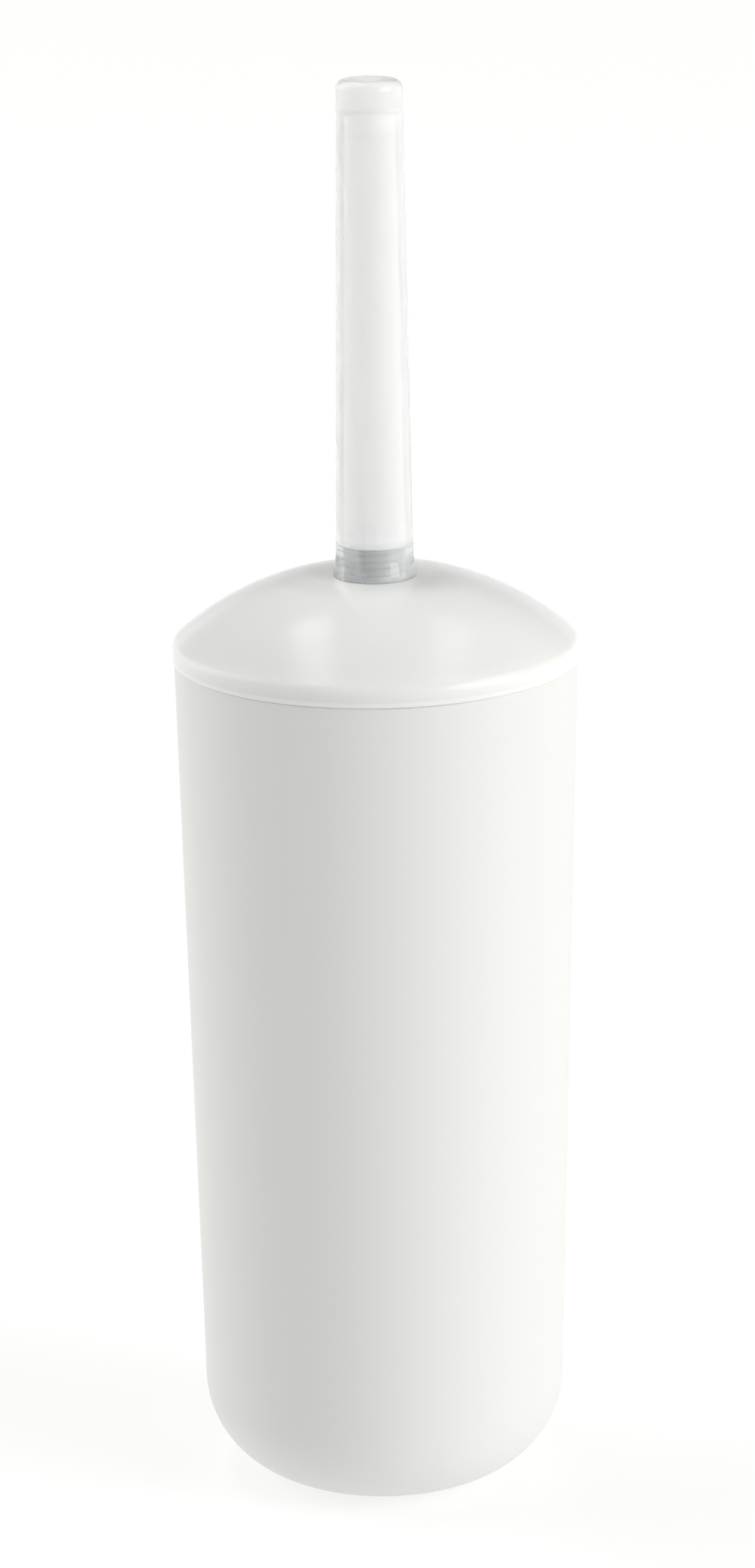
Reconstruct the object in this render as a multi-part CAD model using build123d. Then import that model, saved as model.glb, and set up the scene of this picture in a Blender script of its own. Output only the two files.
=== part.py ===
from build123d import *
import os
from math import acos, asin, atan2, cos, degrees, hypot, pi, radians, sin

# Toilet brush holder: a tapered canister, and a brush that hangs in it from a domed lid.
# Millimetres, +Z up, origin on the floor at the centre of the canister.
# The tubular handle screws down on a stud and clamps the lid to the brush stem's collar.

# Canister
CANISTER_HEIGHT = 235.5
CANISTER_RIM_RADIUS = 55.0
CANISTER_FOOT_RADIUS = 50.1         # where the tapered wall would meet the floor
CANISTER_WALL = 2.4
CANISTER_FLOOR = 3.0
CANISTER_RIM_ROUND = 0.4
FOOT_CORNER_RADIUS = 27.0
FOOT_RECESS_RADIUS = 17.0
FOOT_RECESS_DEPTH = 1.0

# Lid
LID_WALL = 2.2
LID_EDGE_HEIGHT = 4.7               # straight side, from the canister's rim up to the dome
LID_EDGE_OVERHANG = 0.4
LID_EDGE_ROUND = 3.2
LID_LOWER_ROUND = 0.3
LID_SPIGOT_DEPTH = 8.0
LID_SPIGOT_WALL = 1.8
LID_SPIGOT_CLEARANCE = 0.3
LID_PAD_RADIUS = 17.6               # flat seat for the handle's foot
DOME_HEIGHT = 17.9
DOME_CROWN_RADIUS = 30.0            # arc that turns down from the pad
DOME_SHOULDER_RADIUS = 79.5         # flatter arc that runs on down to the lid's edge

# Handle
HANDLE_LENGTH = 134.0
HANDLE_BASE_RADIUS = 10.65
HANDLE_TOP_RADIUS = 8.85
HANDLE_TOP_ROUND = 2.5
HANDLE_WALL = 2.2
HANDLE_END_THICKNESS = 8.0
HANDLE_CAVITY_ROUND = 2.0
HANDLE_FOOT_RADIUS = 11.35
HANDLE_FOOT_EDGE = 1.6
HANDLE_FOOT_HEIGHT = 5.6

# Screw joint between the handle and the stem
STUD_RADIUS = 4.0
STUD_ENGAGEMENT = 8.2               # height of the stud above the lid
STUD_EMBEDDED = 22.0                # length of the stud below the lid
STUD_CHAMFER = 0.6
STUD_CLEARANCE = 0.05
BUSH_HEIGHT = 8.5
BUSH_RECESS = 0.3                   # keeps the bush off the lid
BUSH_SHOULDER = 0.4                 # step in the handle that the bush is pushed up to
BUSH_RING_COUNT = 4
BUSH_GROOVE_DEPTH = 0.35
BUSH_GROOVE_WIDTH = 1.2

# Brush stem
STEM_TOP_RADIUS = 7.0
STEM_BOTTOM_RADIUS = 6.0
STEM_COLLAR_RADIUS = 11.0
STEM_COLLAR_THICKNESS = 3.0
STEM_COLLAR_FILLET = 2.0
STEM_PILOT_RADIUS = 6.0             # short spigot that centres the lid
STEM_PILOT_CLEARANCE = 0.1
STEM_PILOT_SHORTFALL = 0.2          # keeps the clamping force on the lid
STEM_TAIL_RADIUS = 4.5
STEM_TAIL_LENGTH = 18.0

# Brush head
BRUSH_RADIUS = 39.0
BRUSH_FLOOR_GAP = 9.5               # between the lowest bristles and the canister's floor
CORE_RADIUS = 14.0
CORE_LENGTH = 66.0
NECK_RADIUS = 8.5
NECK_HEIGHT = 11.0
NECK_ROUND = 3.0
TUFT_HOLE_RADIUS = 1.7
TUFT_HOLE_DEPTH = 6.5
DRILL_OVERRUN = 1.0                 # how far outside the core a tuft hole's cut starts
TUFT_SPREAD_RADIUS = 6.5
TUFT_SIDES = 6
TIP_TUFT_LENGTH = 19.0
FIRST_RING_RISE = 3.0               # lowest level ring, above the centre of the core's round end
RING_PITCH = 8.5
LEVEL_RING_COUNT = 5
LEVEL_RING_TUFTS = 9
SLOPING_RINGS = ((58.0, 5), (28.0, 8))   # degrees below the horizontal, tufts
ANCHOR_BITE = 0.2                   # how far an anchor cuts into each side of its hole
ANCHOR_THICKNESS = 0.4
ANCHOR_HEIGHT = 1.6

UPRIGHT = (Align.CENTER, Align.CENTER, Align.MIN)

# Places worked out from the sizes above
HANDLE_SEAT_Z = CANISTER_HEIGHT + LID_EDGE_HEIGHT + DOME_HEIGHT
COLLAR_TOP_Z = HANDLE_SEAT_Z - LID_WALL
TUFT_TIPS_Z = CANISTER_FLOOR + BRUSH_FLOOR_GAP
CORE_END_Z = TUFT_TIPS_Z + TIP_TUFT_LENGTH
CORE_CENTRE_Z = CORE_END_Z + CORE_RADIUS
CORE_TOP_Z = CORE_END_Z + CORE_LENGTH


def rounded_face(points, rounds):
    """Face inside a closed outline, with a radius at each listed corner."""
    face = make_face(Polyline(*points, close=True))
    for corner, radius in rounds:
        face = fillet(face.vertices().sort_by_distance(corner)[0], radius)
    return face


def spin(face, base_z=0.0):
    """Solid of revolution of a face drawn as (radius, height) above base_z."""
    return Pos(0, 0, base_z) * revolve(Plane.XZ * face, Axis.Z)


def canister_radius(z):
    """Outer radius of the canister's tapered wall at a height."""
    taper = (CANISTER_RIM_RADIUS - CANISTER_FOOT_RADIUS) / CANISTER_HEIGHT
    return CANISTER_FOOT_RADIUS + taper * z


def handle_radius(height):
    """Outer radius of the handle's tapered tube at a height above the lid."""
    return HANDLE_BASE_RADIUS + (HANDLE_TOP_RADIUS - HANDLE_BASE_RADIUS) * height / HANDLE_LENGTH


def make_canister():
    rim = CANISTER_RIM_RADIUS
    foot = (CANISTER_FOOT_RADIUS, 0)
    inner_foot = (canister_radius(CANISTER_FLOOR) - CANISTER_WALL, CANISTER_FLOOR)
    outer_rim = (rim, CANISTER_HEIGHT)
    inner_rim = (rim - CANISTER_WALL, CANISTER_HEIGHT)
    outline = [
        (0, FOOT_RECESS_DEPTH),
        (FOOT_RECESS_RADIUS, FOOT_RECESS_DEPTH),
        (FOOT_RECESS_RADIUS, 0),
        foot,
        outer_rim,
        inner_rim,
        inner_foot,
        (0, CANISTER_FLOOR),
    ]
    rounds = [
        (foot, FOOT_CORNER_RADIUS),
        (inner_foot, FOOT_CORNER_RADIUS - CANISTER_WALL),
        (outer_rim, CANISTER_RIM_ROUND),
        (inner_rim, CANISTER_RIM_ROUND),
    ]
    return spin(rounded_face(outline, rounds))


def dome_turns(run, rise):
    """Degrees that the crown and shoulder arcs turn between the level pad and the lid's edge."""
    step = DOME_SHOULDER_RADIUS - DOME_CROWN_RADIUS
    drop = DOME_CROWN_RADIUS - rise
    reach = hypot(run, drop)
    along = (DOME_SHOULDER_RADIUS**2 - step**2 - reach**2) / (2 * step)
    crown = atan2(run, drop) - acos(along / reach)
    edge = asin((run + step * sin(crown)) / DOME_SHOULDER_RADIUS)
    return degrees(crown), degrees(edge - crown)


def make_lid():
    edge = CANISTER_RIM_RADIUS + LID_EDGE_OVERHANG
    edge_top = (edge, LID_EDGE_HEIGHT)
    lower_edge = (edge, 0)
    top = LID_EDGE_HEIGHT + DOME_HEIGHT
    pad_rim = (LID_PAD_RADIUS, top)
    pad_inner_rim = (LID_PAD_RADIUS, top - LID_WALL)
    mouth = canister_radius(CANISTER_HEIGHT - LID_SPIGOT_DEPTH) - CANISTER_WALL
    spigot = mouth - LID_SPIGOT_CLEARANCE
    spigot_inside = spigot - LID_SPIGOT_WALL
    hole = STEM_PILOT_RADIUS + STEM_PILOT_CLEARANCE
    crown_turn, shoulder_turn = dome_turns(edge - LID_PAD_RADIUS, DOME_HEIGHT)

    # outside, from the pad down to the edge
    outer_crown = JernArc(pad_rim, (1, 0), DOME_CROWN_RADIUS, -crown_turn)
    outer_shoulder = JernArc(
        outer_crown @ 1, outer_crown % 1, DOME_SHOULDER_RADIUS, -shoulder_turn
    )
    # inside, from the pad down to where the shoulder meets the spigot
    inner_crown = JernArc(pad_inner_rim, (1, 0), DOME_CROWN_RADIUS - LID_WALL, -crown_turn)
    start, direction = inner_crown @ 1, inner_crown % 1
    inner_radius = DOME_SHOULDER_RADIUS - LID_WALL
    beyond = (spigot_inside - start.X) / inner_radius
    inner_turn = degrees(asin(sin(radians(crown_turn)) + beyond)) - crown_turn
    inner_shoulder = JernArc(start, direction, inner_radius, -inner_turn)

    pad = Polyline(pad_rim, (hole, top), (hole, top - LID_WALL), pad_inner_rim)
    rim = Polyline(
        inner_shoulder @ 1,
        (spigot_inside, -LID_SPIGOT_DEPTH),
        (spigot, -LID_SPIGOT_DEPTH),
        (spigot, 0),
        lower_edge,
        edge_top,
    )
    face = make_face([pad, inner_crown, inner_shoulder, rim, outer_shoulder, outer_crown])
    for corner, radius in ((lower_edge, LID_LOWER_ROUND), (edge_top, LID_EDGE_ROUND)):
        face = fillet(face.vertices().sort_by_distance(corner)[0], radius)
    return spin(face, CANISTER_HEIGHT)


def bush_radius():
    """Outside of the bush: the handle's cavity, plus the step that stops it."""
    return handle_radius(BUSH_RECESS + BUSH_HEIGHT) - HANDLE_WALL + BUSH_SHOULDER


def make_handle():
    foot_edge = (HANDLE_FOOT_RADIUS, HANDLE_FOOT_EDGE)
    flare_top = (handle_radius(HANDLE_FOOT_HEIGHT), HANDLE_FOOT_HEIGHT)
    tip = (HANDLE_TOP_RADIUS, HANDLE_LENGTH)
    bush_top = BUSH_RECESS + BUSH_HEIGHT
    cavity_top = HANDLE_LENGTH - HANDLE_END_THICKNESS
    cavity_corner = (handle_radius(cavity_top) - HANDLE_WALL, cavity_top)
    outline = [
        (bush_radius(), 0),
        (HANDLE_FOOT_RADIUS, 0),
        foot_edge,
        flare_top,
        tip,
        (0, HANDLE_LENGTH),
        (0, cavity_top),
        cavity_corner,
        (handle_radius(bush_top) - HANDLE_WALL, bush_top),
        (bush_radius(), bush_top),
    ]
    rounds = [
        (flare_top, HANDLE_FOOT_HEIGHT - HANDLE_FOOT_EDGE),
        (tip, HANDLE_TOP_ROUND),
        (cavity_corner, HANDLE_CAVITY_ROUND),
    ]
    return spin(rounded_face(outline, rounds), HANDLE_SEAT_Z)


def make_threaded_bush():
    """Bush with rings that hold it in the handle; its bore takes the stud's thread."""
    outside = bush_radius()
    bore = STUD_RADIUS + STUD_CLEARANCE
    body = Cylinder(outside, BUSH_HEIGHT, align=UPRIGHT)
    body -= Cylinder(bore, BUSH_HEIGHT, align=UPRIGHT)
    groove = Cylinder(outside, BUSH_GROOVE_WIDTH)
    groove -= Cylinder(outside - BUSH_GROOVE_DEPTH, BUSH_GROOVE_WIDTH)
    for index in range(1, BUSH_RING_COUNT):
        body -= Pos(0, 0, BUSH_HEIGHT * index / BUSH_RING_COUNT) * groove
    return Pos(0, 0, HANDLE_SEAT_Z + BUSH_RECESS) * body


def make_threaded_stud():
    length = STUD_EMBEDDED + LID_WALL + STUD_ENGAGEMENT
    stud = Cylinder(STUD_RADIUS, length, align=UPRIGHT)
    stud = chamfer(stud.edges().group_by(Axis.Z)[-1], STUD_CHAMFER)
    return Pos(0, 0, COLLAR_TOP_Z - STUD_EMBEDDED) * stud


def make_brush_stem():
    collar_bottom = COLLAR_TOP_Z - STEM_COLLAR_THICKNESS
    pilot_top = HANDLE_SEAT_Z - STEM_PILOT_SHORTFALL
    stud_bottom = COLLAR_TOP_Z - STUD_EMBEDDED
    under_collar = (STEM_TOP_RADIUS, collar_bottom)
    outline = [
        (0, CORE_TOP_Z - STEM_TAIL_LENGTH),
        (STEM_TAIL_RADIUS, CORE_TOP_Z - STEM_TAIL_LENGTH),
        (STEM_TAIL_RADIUS, CORE_TOP_Z),
        (STEM_BOTTOM_RADIUS, CORE_TOP_Z),
        under_collar,
        (STEM_COLLAR_RADIUS, collar_bottom),
        (STEM_COLLAR_RADIUS, COLLAR_TOP_Z),
        (STEM_PILOT_RADIUS, COLLAR_TOP_Z),
        (STEM_PILOT_RADIUS, pilot_top),
        (STUD_RADIUS, pilot_top),
        (STUD_RADIUS, stud_bottom),
        (0, stud_bottom),
    ]
    return spin(rounded_face(outline, [(under_collar, STEM_COLLAR_FILLET)]))


def ring_layout():
    """Every ring of tufts, lowest first: slope, height, tufts, turn and distance to the tips."""
    rings = []
    reach_down = CORE_RADIUS + TIP_TUFT_LENGTH
    for slope, count in SLOPING_RINGS:
        angle = radians(slope)
        reach = 1 / hypot(cos(angle) / BRUSH_RADIUS, sin(angle) / reach_down)
        rings.append((slope, CORE_CENTRE_Z, count, 0.0, reach))
    for index in range(LEVEL_RING_COUNT):
        height = CORE_CENTRE_Z + FIRST_RING_RISE + RING_PITCH * index
        turn = 180 / LEVEL_RING_TUFTS * (index % 2)
        rings.append((0.0, height, LEVEL_RING_TUFTS, turn, BRUSH_RADIUS))
    return rings


def ring_places(ring):
    """Frames of one ring's tufts, each with its X axis out along the tuft."""
    slope, height, count, turn, _ = ring
    turns = [turn + 360 / count * step for step in range(count)]
    return [Pos(0, 0, height) * Rot(Z=angle) * Rot(Y=slope) for angle in turns]


def tip_place():
    """Frame of the tuft that points straight down."""
    return Pos(0, 0, CORE_CENTRE_Z) * Rot(Y=90)


def make_tuft(reach):
    """A flat-sided tuft along X: straight in its hole, then spread out to its tips."""
    root = CORE_RADIUS - TUFT_HOLE_DEPTH + ANCHOR_HEIGHT
    turns = [2 * pi * side / TUFT_SIDES for side in range(TUFT_SIDES)]
    places_along = (root, CORE_RADIUS, reach)
    widths = (TUFT_HOLE_RADIUS, TUFT_HOLE_RADIUS, TUFT_SPREAD_RADIUS)
    sections = []
    for x, radius in zip(places_along, widths):
        sections.append([(x, radius * cos(turn), radius * sin(turn)) for turn in turns])
    outlines = [sections[0], sections[-1]]
    for inner, outer in zip(sections, sections[1:]):
        for side in range(TUFT_SIDES):
            outlines.append([inner[side - 1], inner[side], outer[side], outer[side - 1]])
    return Solid(Shell([Face(Wire.make_polygon(outline)) for outline in outlines]))


def make_bristle_ring(ring):
    tuft = make_tuft(ring[-1])
    return Compound(children=[place * tuft for place in ring_places(ring)])


def make_bristle_tip():
    return tip_place() * make_tuft(CORE_RADIUS + TIP_TUFT_LENGTH)


def make_tuft_anchors(places):
    """Flat wire anchors at the bottoms of the tuft holes, a little wider than the holes."""
    width = 2 * (TUFT_HOLE_RADIUS + ANCHOR_BITE)
    from_bottom = (Align.MIN, Align.CENTER, Align.CENTER)
    anchor = Box(ANCHOR_HEIGHT, width, ANCHOR_THICKNESS, align=from_bottom)
    anchor = Pos(CORE_RADIUS - TUFT_HOLE_DEPTH, 0, 0) * anchor
    return Compound(children=[place * anchor for place in places])


def make_brush_head(places):
    """Core with a round end, a neck, a socket for the stem and a blind hole for each tuft."""
    shoulder = (CORE_RADIUS, CORE_TOP_Z - NECK_HEIGHT)
    neck = (NECK_RADIUS, shoulder[1] + CORE_RADIUS - NECK_RADIUS)
    socket_bottom = CORE_TOP_Z - STEM_TAIL_LENGTH
    round_end = JernArc((0, CORE_END_Z), (1, 0), CORE_RADIUS, 90)
    rest = Polyline(
        round_end @ 1,
        shoulder,
        neck,
        (NECK_RADIUS, CORE_TOP_Z),
        (STEM_TAIL_RADIUS, CORE_TOP_Z),
        (STEM_TAIL_RADIUS, socket_bottom),
        (0, socket_bottom),
        round_end @ 0,
    )
    face = make_face([round_end, rest])
    for corner in (shoulder, neck):
        face = fillet(face.vertices().sort_by_distance(corner)[0], NECK_ROUND)
    hole = Cylinder(TUFT_HOLE_RADIUS, TUFT_HOLE_DEPTH + DRILL_OVERRUN, align=UPRIGHT)
    hole = Pos(CORE_RADIUS - TUFT_HOLE_DEPTH, 0, 0) * Rot(Y=90) * hole
    return spin(face) - [place * hole for place in places]


rings = ring_layout()
places = [place for ring in rings for place in ring_places(ring)] + [tip_place()]
nodes = {
    "canister": make_canister(),
    "lid": make_lid(),
    "handle": make_handle(),
    "threaded_bush": make_threaded_bush(),
    "threaded_stud": make_threaded_stud(),
    "brush_stem": make_brush_stem(),
    "brush_head": make_brush_head(places),
    "tuft_anchors": make_tuft_anchors(places),
    "bristle_tip": make_bristle_tip(),
}
for number, ring in enumerate(rings, 1):
    nodes[f"bristle_ring_{number}"] = make_bristle_ring(ring)

os.makedirs("parts", exist_ok=True)
for name, shape in nodes.items():
    export_step(shape, f"parts/{name}.step")
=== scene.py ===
import random
from math import cos, pi, radians, sin, sqrt, tau

import bmesh
import bpy
from bpy.props import (
    FloatProperty,
    FloatVectorProperty,
    IntProperty,
    PointerProperty,
)
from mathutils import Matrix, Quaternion, Vector


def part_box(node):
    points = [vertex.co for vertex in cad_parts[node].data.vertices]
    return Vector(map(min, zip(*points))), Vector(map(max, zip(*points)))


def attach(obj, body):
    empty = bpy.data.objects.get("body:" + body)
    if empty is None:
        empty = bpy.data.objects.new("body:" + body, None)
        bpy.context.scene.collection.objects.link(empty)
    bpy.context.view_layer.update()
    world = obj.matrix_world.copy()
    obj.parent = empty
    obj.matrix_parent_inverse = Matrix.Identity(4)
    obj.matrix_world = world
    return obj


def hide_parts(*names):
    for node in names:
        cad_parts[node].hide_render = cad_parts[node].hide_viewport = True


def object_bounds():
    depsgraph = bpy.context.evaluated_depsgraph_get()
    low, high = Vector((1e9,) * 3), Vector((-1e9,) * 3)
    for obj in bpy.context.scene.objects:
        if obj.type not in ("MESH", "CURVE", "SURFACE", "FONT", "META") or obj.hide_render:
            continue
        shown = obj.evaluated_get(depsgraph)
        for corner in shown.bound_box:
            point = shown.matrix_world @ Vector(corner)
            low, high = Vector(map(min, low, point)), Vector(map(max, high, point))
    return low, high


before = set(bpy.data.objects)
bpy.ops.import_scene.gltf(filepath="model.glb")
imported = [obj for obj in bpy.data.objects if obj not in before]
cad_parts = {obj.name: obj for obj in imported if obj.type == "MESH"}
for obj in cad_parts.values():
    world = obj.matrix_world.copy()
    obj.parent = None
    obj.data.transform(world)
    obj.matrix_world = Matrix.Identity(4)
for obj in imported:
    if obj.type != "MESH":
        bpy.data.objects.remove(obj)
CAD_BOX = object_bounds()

bl_info = {
    "name": "Toilet brush holder looks",
    "version": (1, 0, 0),
    "blender": (4, 5, 0),
    "location": "3D View > Sidebar > Brush holder",
    "description": "Dresses the packed toilet brush holder: plastics, thread, bristles and studio",
    "category": "Object",
}

MM = 0.001
BRISTLE_NODES = [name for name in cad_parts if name.startswith("bristle_")]

SATIN_RELIEF = (0.9, 0.004)             # grain and height of the finer moulds' surface, in mm
PLAIN_RELIEF = (0.7, 0.004)             # the same for the pieces out of sight
CLEAR_SHADOW = 0.12                     # share of its shadow that a clear piece keeps
STUD_CLEARANCE = 0.05 * MM              # between the stud and the bush's bore


def linear(code):
    """An sRGB hex colour as linear red, green and blue."""
    channels = [int(code[place:place + 2], 16) / 255 for place in (1, 3, 5)]
    return tuple(c / 12.92 if c <= 0.04045 else ((c + 0.055) / 1.055) ** 2.4 for c in channels)


def colour_property(name, description, code):
    return FloatVectorProperty(
        name=name,
        description=description,
        subtype="COLOR",
        size=3,
        min=0.0,
        max=1.0,
        default=linear(code),
    )


def length_property(name, description, millimetres):
    return FloatProperty(
        name=name,
        description=description,
        subtype="DISTANCE",
        unit="LENGTH",
        min=0.0,
        default=millimetres * MM,
        precision=5,
    )


def angle_property(name, description, degrees):
    return FloatProperty(
        name=name, description=description, subtype="ANGLE", default=radians(degrees)
    )


# ---------------------------------------------------------------- settings


class StageSettings(bpy.types.PropertyGroup):
    """Floor, light and camera."""

    camera_distance: length_property(
        "Camera distance", "From the camera to the point it turns about", 1300
    )
    camera_height: length_property("Aim height", "Height of the point the camera turns about", 200)
    camera_elevation: angle_property(
        "Camera elevation", "Height of the camera above the horizon", 16.11
    )
    camera_pitch: angle_property("Camera pitch", "Tilt of the camera below the horizon", 16.15)
    camera_roll: angle_property("Camera roll", "Turn of the camera about its line of sight", -0.71)
    camera_lens: FloatProperty(
        name="Lens",
        description="Focal length on a 36 mm sensor",
        subtype="DISTANCE_CAMERA",
        default=108.86,
    )
    floor_radius: length_property("Floor radius", "Radius of the round floor", 30000)
    floor_colour: colour_property("Floor", "Colour of the pale floor", "#A0A09E")
    floor_glow: FloatProperty(
        name="Floor glow",
        description="Light that the lit sweep gives off, which keeps shadows pale",
        min=0.0,
        default=0.68,
    )
    light_strength: FloatProperty(
        name="Light strength",
        description="Irradiance of a light of weight 1",
        unit="POWER",
        min=0.0,
        default=3.0,
    )


class PlasticSettings(bpy.types.PropertyGroup):
    """Moulded pieces."""

    canister_colour: colour_property("Canister", "White polypropylene", "#D6D6D3")
    lid_colour: colour_property("Lid", "Frosted polypropylene", "#DFE0DD")
    # painted glow: a paler colour painted along the lid's lowest edge, for the bright line of light
    # there
    lid_edge_painted_glow: colour_property(
        "Lid edge", "Open edge of the lid, where light leaves the wall", "#E8E9E6"
    )
    handle_colour: colour_property("Handle", "Milky clear tube", "#EAEAE9")
    bush_colour: colour_property("Bush", "Clear bush in the foot of the handle", "#E0E5E8")
    stem_colour: colour_property("Stem", "White polypropylene", "#F0F0ED")


class ThreadSettings(bpy.types.PropertyGroup):
    """Screw joint between the handle and the stem."""

    pitch: length_property("Pitch", "Rise of the thread in one turn", 2.0)
    depth: length_property("Depth", "Height of the thread's ridge", 0.6)
    ring_depth: length_property("Ring depth", "Depth of the grooves round the bush", 0.5)
    skin: length_property("Skin", "Thickness of the plastic over the end of the stud", 0.5)
    steel_colour: colour_property("Steel", "Blackened steel stud", "#20282E")


class BristleSettings(bpy.types.PropertyGroup):
    """Nylon tufts and the wire that holds them."""

    filament_count: IntProperty(
        name="Filaments", description="Filaments in each tuft", min=8, default=64
    )
    filament_radius: length_property("Filament radius", "Half the thickness of a filament", 0.2)
    crimp: length_property("Crimp", "How far a filament waves to the side", 0.25)
    colour: colour_property("Nylon", "White nylon filament", "#F2F2EE")
    anchor_colour: colour_property("Anchors", "Brass wire", "#D9B864")
    seed: IntProperty(
        name="Seed", description="Start of the random spread of the filaments", default=7
    )


# ---------------------------------------------------------------- helpers


def add_node(tree, kind, settings=None, links=None):
    """Adds a node; settings go to sockets or attributes, links give (node, output) by socket."""
    node = tree.nodes.new(kind)
    for name, value in (settings or {}).items():
        if name in node.inputs:
            node.inputs[name].default_value = value
        else:
            setattr(node, name, value)
    for name, (source, output) in (links or {}).items():
        tree.links.new(source.outputs[output], node.inputs[name])
    return node


def new_material(name, settings, *finishes):
    """A Principled material; each finish adds what makes its surface vary."""
    material = bpy.data.materials.new(name)
    material.use_nodes = True
    tree = material.node_tree
    tree.nodes.clear()
    shader = add_node(tree, "ShaderNodeBsdfPrincipled", settings)
    add_node(tree, "ShaderNodeOutputMaterial", links={"Surface": (shader, "BSDF")})
    place = add_node(tree, "ShaderNodeTexCoord")
    for finish in finishes:
        finish(tree, shader, place)
    return material


def fine_relief(grain, height):
    """A fine bump, with its grain and height in mm."""

    def add(tree, shader, place):
        noise = add_node(
            tree,
            "ShaderNodeTexNoise",
            {"Scale": 1 / (grain * MM), "Detail": 2.0},
            {"Vector": (place, "Object")},
        )
        bump = add_node(
            tree,
            "ShaderNodeBump",
            {"Distance": height * MM, "Strength": 1.0},
            {"Height": (noise, "Fac")},
        )
        tree.links.new(bump.outputs["Normal"], shader.inputs["Normal"])

    return add


def drawn_marks(across, along, least, most):
    """Roughness from least to most, in marks so long across and along the upright axis, in mm."""

    def add(tree, shader, place):
        grain = add_node(
            tree,
            "ShaderNodeMapping",
            {"Scale": (1 / (across * MM), 1 / (across * MM), 1 / (along * MM))},
            {"Vector": (place, "Object")},
        )
        noise = add_node(
            tree,
            "ShaderNodeTexNoise",
            {"Scale": 1.0, "Detail": 2.0},
            {"Vector": (grain, "Vector")},
        )
        rough = add_node(
            tree,
            "ShaderNodeMapRange",
            {"To Min": least, "To Max": most},
            {"Value": (noise, "Fac")},
        )
        tree.links.new(rough.outputs["Result"], shader.inputs["Roughness"])

    return add


def up_the_piece(socket, stops):
    """A colour or a grey value that changes with height, as stops of (height, colour or value)."""

    def add(tree, shader, place):
        low, high = stops[0][0], stops[-1][0]
        split = add_node(tree, "ShaderNodeSeparateXYZ", links={"Vector": (place, "Object")})
        share = add_node(
            tree,
            "ShaderNodeMapRange",
            {"From Min": low, "From Max": high},
            {"Value": (split, "Z")},
        )
        ramp = add_node(tree, "ShaderNodeValToRGB", links={"Fac": (share, "Result")})
        elements = ramp.color_ramp.elements
        for height, _ in stops[1:-1]:
            elements.new((height - low) / (high - low))
        for element, (_, value) in zip(elements, stops):
            colour = value if isinstance(value, tuple) else (value, value, value)
            element.color = (*colour, 1.0)
        tree.links.new(ramp.outputs["Color"], shader.inputs[socket])

    return add


def pale_shadow(kept):
    """Only part of the shadow is kept, as light goes on through a clear piece."""

    def add(tree, shader, place):
        path = add_node(tree, "ShaderNodeLightPath")
        cover = add_node(
            tree,
            "ShaderNodeMapRange",
            {"To Min": 1.0, "To Max": kept},
            {"Value": (path, "Is Shadow Ray")},
        )
        tree.links.new(cover.outputs["Result"], shader.inputs["Alpha"])

    return add


def dress(node_name, material):
    """Gives a CAD node a material."""
    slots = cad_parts[node_name].material_slots
    if not slots:
        raise RuntimeError(f"{node_name} has no material slot")
    for slot in slots:
        slot.material = material


def new_piece(name, vertices, faces, material, body, replaced):
    """A mesh piece that rides on a body and stands for CAD nodes."""
    mesh = bpy.data.meshes.new(name)
    mesh.from_pydata(vertices, [], faces)
    mesh.validate()
    mesh.materials.append(material)
    piece = bpy.data.objects.new(name, mesh)
    bpy.context.scene.collection.objects.link(piece)
    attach(piece, body)
    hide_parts(*replaced)
    return piece


def skin_rings(rings, vertices, faces, outward=True):
    """Joins rings of (height, radii) by quads; returns the first and the last ring's points."""
    first, sides = len(vertices), len(rings[0][1])
    for height, radii in rings:
        for side, radius in enumerate(radii):
            turn = tau * side / sides
            vertices.append((radius * cos(turn), radius * sin(turn), height))
    for row in range(len(rings) - 1):
        for side in range(sides):
            a = first + row * sides + side
            b = first + row * sides + (side + 1) % sides
            face = (a, b, b + sides, a + sides)
            faces.append(face if outward else face[::-1])
    last = first + (len(rings) - 1) * sides
    return list(range(first, first + sides)), list(range(last, last + sides))


def clamped(value):
    return max(0.0, min(1.0, value))


def thread_rows(bottom, top, radius, depth, pitch, sides, steps, run_out):
    """Rings of a screw: each has a height and radii that follow a helix.

    There are so many steps in a turn, and the valley runs out over a share of the pitch at
    both ends.
    """
    rows = int((top - bottom) / pitch * steps)
    rings = []
    for row in range(rows + 1):
        height = bottom + (top - bottom) * row / rows
        room = min(top - height, height - bottom) / (run_out * pitch)
        rings.append((height, [
            radius - depth * helix_share(height - bottom, side, sides, pitch, room)
            for side in range(sides)
        ]))
    return rings


def helix_share(height, side, sides, pitch, room):
    """From 0 to 1, how deep the thread's valley is at a point, with a flat floor and crest."""
    phase = (height / pitch - side / sides) % 1.0
    middle, slope = 1.6, 2.2
    return clamped(middle - slope * abs(2 * phase - 1)) * clamped(room)


# ---------------------------------------------------------------- operators


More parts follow.
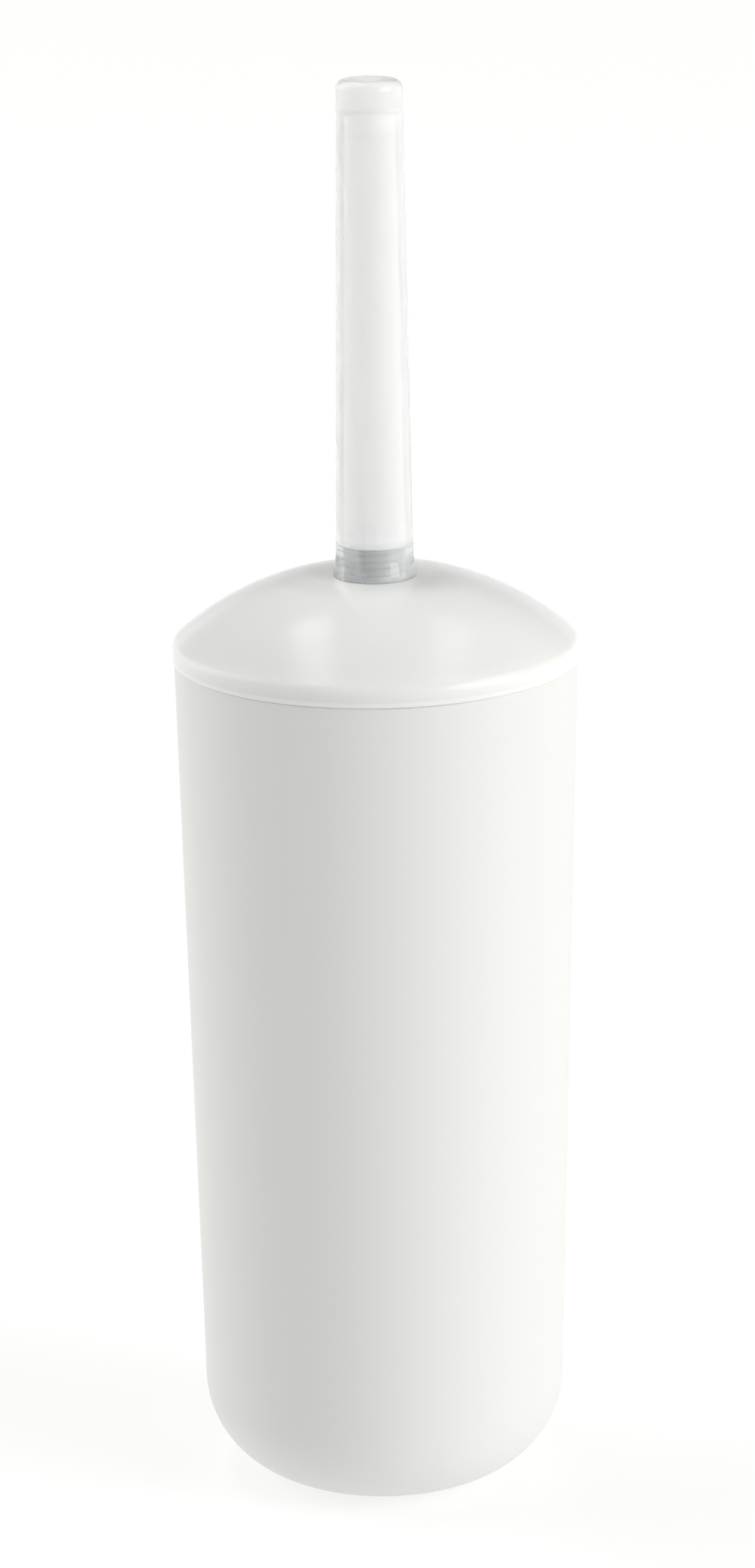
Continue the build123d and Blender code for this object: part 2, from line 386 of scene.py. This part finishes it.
class HOLDER_OT_stage(bpy.types.Operator):
    """Make the pale floor, the soft studio light and the camera"""

    bl_idname = "holder.stage"
    bl_label = "Stage"

    def execute(self, context):
        settings = context.scene.holder_stage
        context.scene.view_settings.view_transform = "Standard"
        self.make_world(context.scene)
        self.make_floor(context.scene, settings)
        self.make_lights(context.scene, settings)
        self.make_camera(context.scene, settings)
        return {"FINISHED"}

    def make_world(self, scene):
        """White near the horizon, as a studio's walls are, and dimmer above."""
        world = bpy.data.worlds.new("studio_room")
        world.use_nodes = True
        tree = world.node_tree
        tree.nodes.clear()
        walls, ceiling = (0.15, 0.7), (0.25, 0.1)   # sine of the elevation, brightness
        place = add_node(tree, "ShaderNodeTexCoord")
        split = add_node(tree, "ShaderNodeSeparateXYZ", links={"Vector": (place, "Generated")})
        ramp = add_node(tree, "ShaderNodeValToRGB", links={"Fac": (split, "Z")})
        for stop, (height, grey) in zip(ramp.color_ramp.elements, (walls, ceiling)):
            stop.position = height
            stop.color = (grey, grey, grey, 1.0)
        back = add_node(tree, "ShaderNodeBackground", {"Strength": 1.0}, {"Color": (ramp, "Color")})
        add_node(tree, "ShaderNodeOutputWorld", links={"Surface": (back, "Background")})
        scene.world = world

    def make_floor(self, scene, settings):
        mesh = bpy.data.meshes.new("floor")
        shape = bmesh.new()
        bmesh.ops.create_circle(shape, cap_ends=True, segments=96, radius=settings.floor_radius)
        shape.to_mesh(mesh)
        shape.free()
        floor = bpy.data.objects.new("floor", mesh)
        floor.location.z = CAD_BOX[0].z
        scene.collection.objects.link(floor)
        # white paper sweep: matt, and bright enough to keep its shadows light
        mesh.materials.append(new_material("white_paper_sweep", {
            "Base Color": (*settings.floor_colour, 1.0),
            "Roughness": 0.9,
            "Specular IOR Level": 0.1,
            "Emission Color": (1.0, 1.0, 1.0, 1.0),
            "Emission Strength": settings.floor_glow,
        }))

    def make_lights(self, scene, settings):
        """Large soft walls of light, and two strips overhead that show as streaks on the lid."""
        # name, weight, azimuth from the front, elevation and width of the source, in degrees
        walls = (
            ("right_wall_low", 0.553, 60, 20, 40),
            ("right_wall_high", 0.290, 75, 32, 40),
            ("left_wall_low", 0.151, -115, 20, 40),
            ("left_wall_wide", 0.306, -115, 20, 100),
            ("left_wall_high", 0.167, -100, 35, 40),
            ("overhead", 0.142, 0, 90, 120),
        )
        for name, weight, azimuth, elevation, width in walls:
            lamp = self.new_lamp(scene, name, "SUN", weight * settings.light_strength)
            lamp.data.angle = radians(width)
            turn, rise = radians(azimuth), radians(elevation)
            towards = Vector((sin(turn) * cos(rise), -cos(turn) * cos(rise), sin(rise)))
            lamp.location = towards
            lamp.rotation_mode = "QUATERNION"
            lamp.rotation_quaternion = towards.to_track_quat("Z", "Y")
        # name, lean from the upright in degrees and power; sizes and places in metres
        strips = (("strip_left", -15.5, 1.92), ("strip_right", 19, 1.14))
        width, length, away, behind = 0.33, 1.35, 2.0, 0.5
        for name, degrees, power in strips:
            lamp = self.new_lamp(scene, name, "AREA", power * settings.light_strength)
            lamp.data.shape = "RECTANGLE"
            lamp.data.size, lamp.data.size_y = width, length
            lean = radians(degrees)
            lamp.location = (away * sin(lean), behind, away * cos(lean))
            lamp.rotation_euler = (0.0, lean, 0.0)

    def new_lamp(self, scene, name, kind, energy):
        light = bpy.data.lights.new(name, kind)
        light.energy = energy
        lamp = bpy.data.objects.new(name, light)
        scene.collection.objects.link(lamp)
        return lamp

    def make_camera(self, scene, settings):
        data = bpy.data.cameras.new("camera")
        data.sensor_width = 36.0
        data.lens = settings.camera_lens
        camera = bpy.data.objects.new("camera", data)
        rise, distance = settings.camera_elevation, settings.camera_distance
        camera.location = (0, -distance * cos(rise), settings.camera_height + distance * sin(rise))
        camera.rotation_mode = "QUATERNION"
        upright = Quaternion((1, 0, 0), pi / 2 - settings.camera_pitch)
        camera.rotation_quaternion = upright @ Quaternion((0, 0, 1), settings.camera_roll)
        scene.collection.objects.link(camera)
        scene.camera = camera


class HOLDER_OT_canister(bpy.types.Operator):
    """Give the canister its white moulded plastic"""

    bl_idname = "holder.canister"
    bl_label = "Canister"

    def execute(self, context):
        settings = context.scene.holder_plastics
        # injection-moulded polypropylene: white, with the soft broad sheen of a satin mould
        dress("canister", new_material("polypropylene_satin_white", {
            "Base Color": (*settings.canister_colour, 1.0),
            "Roughness": 0.38,
            "IOR": 1.49,
        }, fine_relief(*SATIN_RELIEF)))
        return {"FINISHED"}


class HOLDER_OT_lid(bpy.types.Operator):
    """Give the lid its frosted plastic"""

    bl_idname = "holder.lid"
    bl_label = "Lid"

    def execute(self, context):
        settings = context.scene.holder_plastics
        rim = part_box("canister")[1].z
        # frosted polypropylene: milky, so that light spreads some way inside its wall; its lowest
        # edge is painted paler, a painted glow for the bright line where light leaves the wall at
        # its open edge
        dress("lid", new_material("polypropylene_frosted", {
            "Base Color": (*settings.lid_colour, 1.0),
            "Roughness": 0.2,
            "IOR": 1.49,
            "Specular IOR Level": 0.25,
            "Subsurface Weight": 1.0,
            "Subsurface Radius": (1.0, 1.0, 1.0),
            "Subsurface Scale": 3.5 * MM,
        }, fine_relief(*SATIN_RELIEF), up_the_piece("Base Color", (
            (rim + 1.0 * MM, tuple(settings.lid_edge_painted_glow)),
            (rim + 1.6 * MM, tuple(settings.lid_colour)),
        ))))
        return {"FINISHED"}


class HOLDER_OT_handle(bpy.types.Operator):
    """Give the tubular handle its milky clear plastic"""

    bl_idname = "holder.handle"
    bl_label = "Handle"

    def execute(self, context):
        settings = context.scene.holder_plastics
        bush_top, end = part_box("threaded_bush")[1].z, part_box("handle")[1].z
        # moulded clear polypropylene: a milky haze spreads the light and hides what is inside, most
        # in the solid end and least where the wall lies against the bush; faint lines run along it
        # where it left the mould
        dress("handle", new_material("polypropylene_milky_clear", {
            "Base Color": (*settings.handle_colour, 1.0),
            "IOR": 1.35,
            "Subsurface Radius": (1.0, 1.0, 1.0),
            "Subsurface Scale": 12 * MM,
        }, drawn_marks(0.8, 40.0, 0.01, 0.02), up_the_piece("Transmission Weight", (
            (bush_top, 0.8),
            (bush_top + 2.5 * MM, 0.6),
            (end - 14 * MM, 0.6),
            (end - 8 * MM, 0.5),
        )), up_the_piece("Subsurface Weight", (
            (bush_top, 0.0),
            (bush_top + 2.5 * MM, 1.0),
        )), pale_shadow(CLEAR_SHADOW)))
        return {"FINISHED"}


class HOLDER_OT_bush(bpy.types.Operator):
    """Make the clear bush with its rings"""

    bl_idname = "holder.bush"
    bl_label = "Threaded bush"

    def execute(self, context):
        settings = context.scene.holder_thread
        # moulded clear bush: its screw rings catch the light as thin dark and pale lines
        clear = new_material("polycarbonate_clear_rings", {
            "Base Color": (*context.scene.holder_plastics.bush_colour, 1.0),
            "IOR": 1.15,
            "Transmission Weight": 0.72,
        }, drawn_marks(1.0, 1.0, 0.03, 0.06), pale_shadow(CLEAR_SHADOW))
        # the skin over the screw: as moulded, matt and milky, so that it looks pale from above
        milky = new_material("polycarbonate_milky_skin", {
            "Base Color": (*context.scene.holder_plastics.bush_colour, 1.0),
            "IOR": 1.35,
            "Transmission Weight": 0.1,
        }, drawn_marks(1.0, 1.0, 0.4, 0.5), pale_shadow(CLEAR_SHADOW))
        low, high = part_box("threaded_bush")
        stud_low, stud_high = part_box("threaded_stud")
        bore = (stud_high.x - stud_low.x) / 2 + STUD_CLEARANCE
        vertices, faces = self.ringed_bush(low.z, high.z, (high.x - low.x) / 2, bore, settings)
        piece = new_piece(
            "bush_rings", vertices, faces, clear, "handle", ["threaded_bush"]
        )
        piece.data.materials.append(milky)
        level = 0.9
        for polygon in piece.data.polygons:
            polygon.use_smooth = abs(polygon.normal.z) < level
            if polygon.normal.z > level:
                polygon.material_index = 1
        return {"FINISHED"}

    def ringed_bush(self, bottom, top, radius, bore, settings):
        """A plug with screw rings outside and a blind bore, closed under its top by a skin."""
        sides = 96
        outside = thread_rows(
            bottom, top, radius, settings.ring_depth, settings.pitch, sides, steps=12, run_out=0.5
        )
        vertices, faces = [], []
        foot, crown = skin_rings(outside, vertices, faces)
        faces.append(tuple(crown))
        inside = [(bottom, [bore] * sides), (top - settings.skin, [bore] * sides)]
        mouth, roof = skin_rings(inside, vertices, faces, outward=False)
        faces.append(tuple(reversed(roof)))
        for side in range(sides):
            after = (side + 1) % sides
            faces.append((foot[after], foot[side], mouth[side], mouth[after]))
        return vertices, faces


class HOLDER_OT_stud(bpy.types.Operator):
    """Make the stud with its screw thread"""

    bl_idname = "holder.stud"
    bl_label = "Threaded stud"

    def execute(self, context):
        settings = context.scene.holder_thread
        # blackened steel: dark and a little blue, with a satin shine on the thread's flanks
        steel = new_material("steel_blackened", {
            "Base Color": (*settings.steel_colour, 1.0),
            "Metallic": 1.0,
        }, drawn_marks(0.4, 0.05, 0.32, 0.45))
        low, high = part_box("threaded_stud")
        vertices, faces = self.threaded_rod(low.z, high.z, (high.x - low.x) / 2, settings)
        piece = new_piece(
            "stud_thread", vertices, faces, steel, "brush", ["threaded_stud"]
        )
        level = 0.95
        for polygon in piece.data.polygons:
            polygon.use_smooth = abs(polygon.normal.z) < level
        return {"FINISHED"}

    def threaded_rod(self, bottom, top, radius, settings):
        """A screw, closed at both ends."""
        rings = thread_rows(
            bottom, top, radius, settings.depth, settings.pitch, sides=48, steps=10, run_out=0.6
        )
        vertices, faces = [], []
        lower, upper = skin_rings(rings, vertices, faces)
        faces.append(tuple(reversed(lower)))
        faces.append(tuple(upper))
        return vertices, faces


class HOLDER_OT_stem(bpy.types.Operator):
    """Give the stem, the brush head and the tuft anchors their materials"""

    bl_idname = "holder.stem"
    bl_label = "Stem and head"

    def execute(self, context):
        settings = context.scene.holder_plastics
        # injection-moulded polypropylene, as the canister, with a plainer mould
        white = new_material("polypropylene_moulded_white", {
            "Base Color": (*settings.stem_colour, 1.0),
            "Roughness": 0.42,
            "IOR": 1.49,
        }, fine_relief(*PLAIN_RELIEF))
        dress("brush_stem", white)
        dress("brush_head", white)
        # drawn brass wire: yellow metal, seen only at the bottoms of the tuft holes
        dress("tuft_anchors", new_material("brass_wire", {
            "Base Color": (*context.scene.holder_bristles.anchor_colour, 1.0),
            "Metallic": 1.0,
            "Roughness": 0.3,
        }))
        return {"FINISHED"}


class HOLDER_OT_bristles(bpy.types.Operator):
    """Make every tuft of the brush from nylon filaments"""

    bl_idname = "holder.bristles"
    bl_label = "Bristles"

    def execute(self, context):
        settings = context.scene.holder_bristles
        # extruded nylon filament: white, a little shiny along each hair
        nylon = new_material("nylon_filament_white", {
            "Base Color": (*settings.colour, 1.0),
            "Roughness": 0.35,
            "IOR": 1.53,
            "Sheen Weight": 0.2,
        })
        chance = random.Random(settings.seed)
        for node in BRISTLE_NODES:
            vertices, faces = [], []
            for tuft in self.tufts(node):
                self.add_tuft(vertices, faces, tuft, settings, chance)
            name = node.replace("bristle", "nylon")
            new_piece(name, vertices, faces, nylon, "brush", [node])
        return {"FINISHED"}

    def tufts(self, node):
        """Each tuft of a CAD node as (root, mouth, tip, radius in the hole, radius at the tips)."""
        shape = bmesh.new()
        shape.from_mesh(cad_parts[node].data)
        bmesh.ops.remove_doubles(shape, verts=shape.verts, dist=1e-5)
        left = set(shape.verts)
        found = []
        while left:
            group, edge = [], [min(left, key=lambda v: v.index)]
            left.discard(edge[0])
            while edge:
                vertex = edge.pop()
                group.append(vertex.co.copy())
                for link in vertex.link_edges:
                    other = link.other_vert(vertex)
                    if other in left:
                        left.discard(other)
                        edge.append(other)
            found.append(self.measure(group))
        shape.free()
        return found

    def measure(self, points):
        """The middles of a tuft's lower, middle and upper thirds, and its end radii."""
        centre = sum(points, Vector()) / len(points)
        far = max(points, key=lambda p: (p - centre).length)
        axis = self.axis(points, centre, far)
        along = sorted(points, key=lambda p: (p - centre).dot(axis))
        third = len(along) // 3
        rings = [along[:third], along[third:-third], along[-third:]]
        middles = [sum(ring, Vector()) / len(ring) for ring in rings]
        radii = [max((p - middle).length for p in ring) for ring, middle in zip(rings, middles)]
        return (*middles, radii[0], radii[2])

    def axis(self, points, centre, start):
        """The line that the points spread along least sideways, found by repeated averaging."""
        rounds = 40
        axis = (start - centre).normalized()
        arms = [p - centre for p in points]
        for _ in range(rounds):
            axis = sum((arm.dot(axis) * arm for arm in arms), Vector()).normalized()
        spread = sum((arm.length - abs(arm.dot(axis))) * arm.dot(axis) for arm in arms)
        return axis if spread > 0 else -axis

    def add_tuft(self, vertices, faces, tuft, settings, chance):
        """Filaments set as sunflower seeds are, straight in the hole and spread to the tips."""
        root, mouth, tip, narrow, wide = tuft
        axis = (tip - mouth).normalized()
        side = axis.orthogonal().normalized()
        up = axis.cross(side)
        thick = settings.filament_radius
        golden = pi * (3 - sqrt(5))
        for number in range(settings.filament_count):
            out = sqrt((number + 0.5) / settings.filament_count)
            turn = number * golden + chance.uniform(-0.3, 0.3)
            out_tip = min(0.97, out * chance.uniform(0.92, 1.08))
            direction = side * cos(turn) + up * sin(turn)
            start = direction * out * (narrow - thick) * 0.9
            end = direction * out_tip * (wide - thick)
            length = 1 - chance.uniform(0.0, 0.03)
            wave = chance.uniform(0.0, tau)
            lean = axis.cross(direction)
            path = [root + start, mouth + start]
            for share in (0.35, 0.7, 1.0):
                spread = start.lerp(end, share ** 0.85)
                crimp = lean * settings.crimp * sin(wave + 7 * share)
                path.append(mouth.lerp(tip, share * length) + spread + crimp)
            self.add_filament(vertices, faces, path, thick)

    def add_filament(self, vertices, faces, path, thick):
        """A three-sided tube along a path, closed at its tip."""
        first = len(vertices)
        for place, point in enumerate(path):
            along = (path[min(place + 1, len(path) - 1)] - path[max(place - 1, 0)]).normalized()
            side = along.orthogonal().normalized()
            up = along.cross(side)
            for corner in range(3):
                turn = tau * corner / 3
                vertices.append(point + thick * (side * cos(turn) + up * sin(turn)))
        for place in range(len(path) - 1):
            for corner in range(3):
                a = first + 3 * place + corner
                b = first + 3 * place + (corner + 1) % 3
                faces.append((a, b, b + 3, a + 3))
        last = first + 3 * (len(path) - 1)
        faces.append((last, last + 1, last + 2))
        faces.append((first + 2, first + 1, first))


class HOLDER_PT_sidebar(bpy.types.Panel):
    """Buttons and settings of the holder"""

    bl_idname = "HOLDER_PT_sidebar"
    bl_label = "Brush holder"
    bl_space_type = "VIEW_3D"
    bl_region_type = "UI"
    bl_category = "Brush holder"

    def draw(self, context):
        layout = self.layout
        for operator in OPERATORS:
            layout.operator(operator.bl_idname)
        for name in SETTINGS:
            group = getattr(context.scene, name)
            box = layout.box()
            for setting in group.bl_rna.properties.keys():
                if setting not in ("rna_type", "name"):
                    box.prop(group, setting)


SETTINGS = {
    "holder_stage": StageSettings,
    "holder_plastics": PlasticSettings,
    "holder_thread": ThreadSettings,
    "holder_bristles": BristleSettings,
}
OPERATORS = (
    HOLDER_OT_stage,
    HOLDER_OT_canister,
    HOLDER_OT_lid,
    HOLDER_OT_handle,
    HOLDER_OT_bush,
    HOLDER_OT_stud,
    HOLDER_OT_stem,
    HOLDER_OT_bristles,
)


def register():
    for item in (*SETTINGS.values(), *OPERATORS, HOLDER_PT_sidebar):
        bpy.utils.register_class(item)
    for name, group in SETTINGS.items():
        setattr(bpy.types.Scene, name, PointerProperty(type=group))


def unregister():
    for name in SETTINGS:
        delattr(bpy.types.Scene, name)
    for item in (HOLDER_PT_sidebar, *reversed(OPERATORS), *reversed(SETTINGS.values())):
        bpy.utils.unregister_class(item)


def main():
    register()
    bpy.ops.holder.stage()
    bpy.ops.holder.canister()
    bpy.ops.holder.lid()
    bpy.ops.holder.handle()
    bpy.ops.holder.bush()
    bpy.ops.holder.stud()
    bpy.ops.holder.stem()
    bpy.ops.holder.bristles()


if __name__ == "__main__":
    main()
